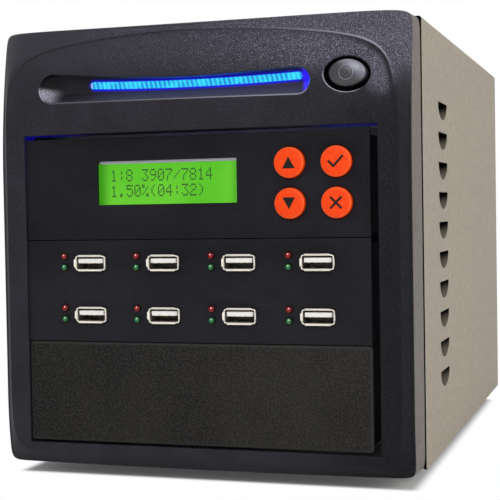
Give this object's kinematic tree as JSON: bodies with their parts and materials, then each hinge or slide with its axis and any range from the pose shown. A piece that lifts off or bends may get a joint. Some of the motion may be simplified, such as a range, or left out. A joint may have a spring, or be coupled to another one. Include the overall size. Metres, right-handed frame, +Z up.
{
  "type": "usb flash drive duplicator",
  "caption": "Desktop duplicator for USB memory sticks: steel case behind a bowed moulded bezel, with a lit slot, a backlit display, keys and rows of sockets with lamps.",
  "frame": {"origin": "under the middle of the whole object, on the surface that it stands on", "axes": "+Z up, the front with display and sockets faces -Y, +X is to the right seen from the front"},
  "size_m": [0.178, 0.2876, 0.1891],
  "materials": {
    "bezel": "fine-grained moulded plastic",
    "cover": "textured warm grey paint",
    "panel": "fine textured black",
    "blank": "leather-grained black moulding",
    "button": "satin",
    "light_bar": "clear ribbed bar, lit blue",
    "board": "circuit board lacquer",
    "lcd_frame": "plated sheet",
    "lcd_glass": "backlit display glass",
    "key": "smooth silicone",
    "shell": "bright nickel plate",
    "tongue": "moulded insulator",
    "red_lamp": "tinted lens",
    "green_lamp": "tinted lens",
    "steel": "zinc-plated sheet",
    "rubber": "matte",
    "fan": "moulded",
    "inlet": "moulded"
  },
  "bodies": {
    "case": {"bay_blank": "blank", "chassis": "steel", "control_panel": "panel", "controller_board": "board", "cover": "cover", "fan_frame": "fan", "foot_front_left": "rubber", "foot_front_right": "rubber", "foot_rear_left": "rubber", "foot_rear_right": "rubber", "front_bezel": "bezel", "key_board": "board", "lcd_board": "board", "lcd_frame": "lcd_frame", "lcd_glass": "lcd_glass", "led_green_1": "green_lamp", "led_green_2": "green_lamp", "led_green_3": "green_lamp", "led_green_4": "green_lamp", "led_green_5": "green_lamp", "led_green_6": "green_lamp", "led_green_7": "green_lamp", "led_green_8": "green_lamp", "led_red_1": "red_lamp", "led_red_2": "red_lamp", "led_red_3": "red_lamp", "led_red_4": "red_lamp", "led_red_5": "red_lamp", "led_red_6": "red_lamp", "led_red_7": "red_lamp", "led_red_8": "red_lamp", "light_bar": "light_bar", "port_board": "board", "port_panel": "panel", "power_inlet": "inlet", "psu_case": "steel", "switch_board": "board", "usb_shell_1": "shell", "usb_shell_2": "shell", "usb_shell_3": "shell", "usb_shell_4": "shell", "usb_shell_5": "shell", "usb_shell_6": "shell", "usb_shell_7": "shell", "usb_shell_8": "shell", "usb_tongue_1": "tongue", "usb_tongue_2": "tongue", "usb_tongue_3": "tongue", "usb_tongue_4": "tongue", "usb_tongue_5": "tongue", "usb_tongue_6": "tongue", "usb_tongue_7": "tongue", "usb_tongue_8": "tongue"},
    "power_button": {"power_button": "button"},
    "key_up": {"key_up": "key"},
    "key_down": {"key_down": "key"},
    "key_enter": {"key_enter": "key"},
    "key_escape": {"key_escape": "key"},
    "rocker": {"rocker_switch": "inlet"},
    "fan_rotor": {"psu_fan": "fan"}
  },
  "joints": [
    {"name": "power_press", "type": "slide", "parent": "case", "child": "power_button", "axis": [0, 1, 0], "range_m": [0, 0.002], "stiffness_N_per_m": 600, "springref_m": -0.002},
    {"name": "up_press", "type": "slide", "parent": "case", "child": "key_up", "axis": [0, 1, 0], "range_m": [0, 0.0005], "stiffness_N_per_m": 1200, "springref_m": -0.0008},
    {"name": "down_press", "type": "slide", "parent": "case", "child": "key_down", "axis": [0, 1, 0], "range_m": [0, 0.0005], "stiffness_N_per_m": 1200, "springref_m": -0.0008},
    {"name": "enter_press", "type": "slide", "parent": "case", "child": "key_enter", "axis": [0, 1, 0], "range_m": [0, 0.0005], "stiffness_N_per_m": 1200, "springref_m": -0.0008},
    {"name": "escape_press", "type": "slide", "parent": "case", "child": "key_escape", "axis": [0, 1, 0], "range_m": [0, 0.0005], "stiffness_N_per_m": 1200, "springref_m": -0.0008},
    {"name": "rocker_tilt", "type": "hinge", "parent": "case", "child": "rocker", "pos_m": [0.0482, 0.13858, 0.16105], "axis": [-1, 0, 0], "range_deg": [0, 18]},
    {"name": "fan_spin", "type": "hinge", "parent": "case", "child": "fan_rotor", "pos_m": [-0.0088, 0.12898, 0.14805], "axis": [0, 1, 0], "continuous": true}
  ]
}
